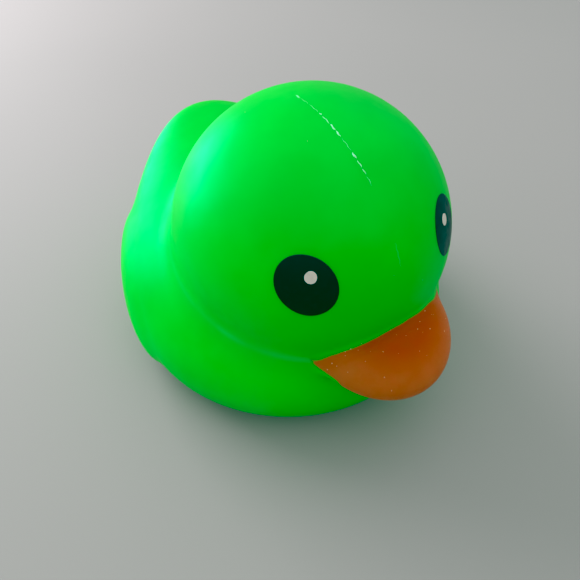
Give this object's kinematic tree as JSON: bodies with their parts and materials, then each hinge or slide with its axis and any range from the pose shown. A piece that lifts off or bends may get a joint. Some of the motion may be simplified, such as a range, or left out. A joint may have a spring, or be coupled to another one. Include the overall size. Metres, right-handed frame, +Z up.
{
  "type": "squishy duck",
  "caption": "Soft squeeze duck with a ball head, squat round body, side wings, upswept tail, painted bill and printed oval eyes; stands on a flat underside.",
  "frame": {"origin": "middle of the bounding box, on the flat underside", "axes": "the duck looks along -Y, +X is its left side, +Z is up"},
  "size_m": [0.1266, 0.151, 0.099],
  "materials": {
    "soft_green": "soft satin, slightly translucent",
    "sprayed_orange": "thin sprayed coat on the bill, satin",
    "printed_black": "smooth pad print on the eyes, slightly glossy",
    "printed_white": "smooth pad print on the eyes"
  },
  "bodies": {
    "root": {"duck_body": "soft_green"}
  },
  "joints": []
}
